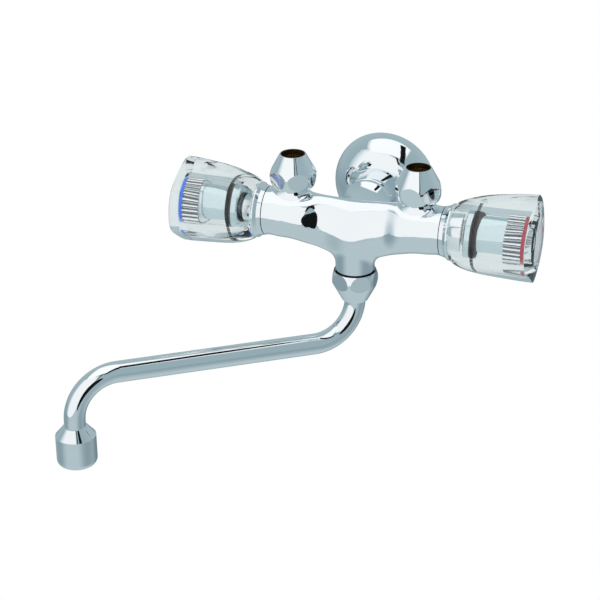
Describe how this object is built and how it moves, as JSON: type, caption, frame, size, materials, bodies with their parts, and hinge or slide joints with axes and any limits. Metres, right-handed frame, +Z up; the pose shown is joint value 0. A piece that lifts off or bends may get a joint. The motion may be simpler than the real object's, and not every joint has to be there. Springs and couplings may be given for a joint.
{
  "type": "wall mixer tap",
  "caption": "Chrome wall mixer tap with a central wall inlet, clear three-sided handles, upward pipe nuts for a small water heater and a swivel spout with an aerator.",
  "frame": {"origin": "on the axis of the wall inlet, at the wall plane", "axes": "+X to the hot side, along the valve axis; +Y into the wall along the inlet; +Z up"},
  "size_m": [0.2829, 0.2356, 0.1747],
  "materials": {
    "chrome": "bright chrome plate",
    "brass": "plain brass",
    "rubber": "black rubber",
    "steel": "plain stainless steel",
    "clear_acrylic": "clear polished acrylic",
    "silver_plastic": "metallised silver",
    "cold_index": "blue",
    "hot_index": "red",
    "white_plastic": "moulded white plastic"
  },
  "bodies": {
    "body": {"mixer_body": "chrome", "wall_rosette": "chrome", "inlet_sleeve": "chrome", "wall_nipple": "brass", "inlet_washer": "rubber", "left_pipe_nut": "chrome", "right_pipe_nut": "chrome", "left_pipe_olive": "brass", "right_pipe_olive": "brass", "spout_nut": "chrome", "cold_bonnet": "brass", "cold_bonnet_seal": "rubber", "cold_neck_ring": "chrome", "hot_bonnet": "brass", "hot_bonnet_seal": "rubber", "hot_neck_ring": "chrome"},
    "spout": {"spout_tube": "chrome", "spout_tailpiece": "brass", "spout_seals": "rubber", "spout_slip_ring": "white_plastic", "outlet_collar": "chrome", "aerator_sleeve": "chrome", "aerator_insert": "white_plastic", "aerator_washer": "rubber"},
    "cold_handle": {"cold_handle_shell": "clear_acrylic", "cold_handle_hub": "chrome", "cold_grip_ring": "rubber", "cold_index_ring": "cold_index", "cold_index_cap": "silver_plastic", "cold_handle_screw": "steel", "cold_spindle": "brass", "cold_spindle_seals": "rubber", "cold_spindle_clip": "steel"},
    "hot_handle": {"hot_handle_shell": "clear_acrylic", "hot_handle_hub": "chrome", "hot_grip_ring": "rubber", "hot_index_ring": "hot_index", "hot_index_cap": "silver_plastic", "hot_handle_screw": "steel", "hot_spindle": "brass", "hot_spindle_seals": "rubber", "hot_spindle_clip": "steel"},
    "cold_valve": {"cold_washer_carrier": "brass", "cold_valve_washer": "rubber", "cold_washer_screw": "steel"},
    "hot_valve": {"hot_washer_carrier": "brass", "hot_valve_washer": "rubber", "hot_washer_screw": "steel"}
  },
  "joints": [
    {"name": "spout_swivel", "type": "hinge", "parent": "body", "child": "spout", "pos_m": [0, -0.072, -0.042], "axis": [0, 0, 1], "range_deg": [-58, 152]},
    {"name": "cold_handle_turn", "type": "hinge", "parent": "body", "child": "cold_handle", "pos_m": [-0.07, -0.072, 0], "axis": [-1, 0, 0], "range_deg": [0, 900]},
    {"name": "hot_handle_turn", "type": "hinge", "parent": "body", "child": "hot_handle", "pos_m": [0.07, -0.072, 0], "axis": [1, 0, 0], "range_deg": [0, 900]},
    {"name": "cold_valve_lift", "type": "slide", "parent": "body", "child": "cold_valve", "axis": [-1, 0, 0], "range_m": [0, 0.00376]},
    {"name": "hot_valve_lift", "type": "slide", "parent": "body", "child": "hot_valve", "axis": [1, 0, 0], "range_m": [0, 0.00376]}
  ],
  "couplings": [
    {"joint": "cold_valve_lift", "follows": "cold_handle_turn", "m_per_rad": 0.00023873},
    {"joint": "hot_valve_lift", "follows": "hot_handle_turn", "m_per_rad": 0.00023873}
  ]
}
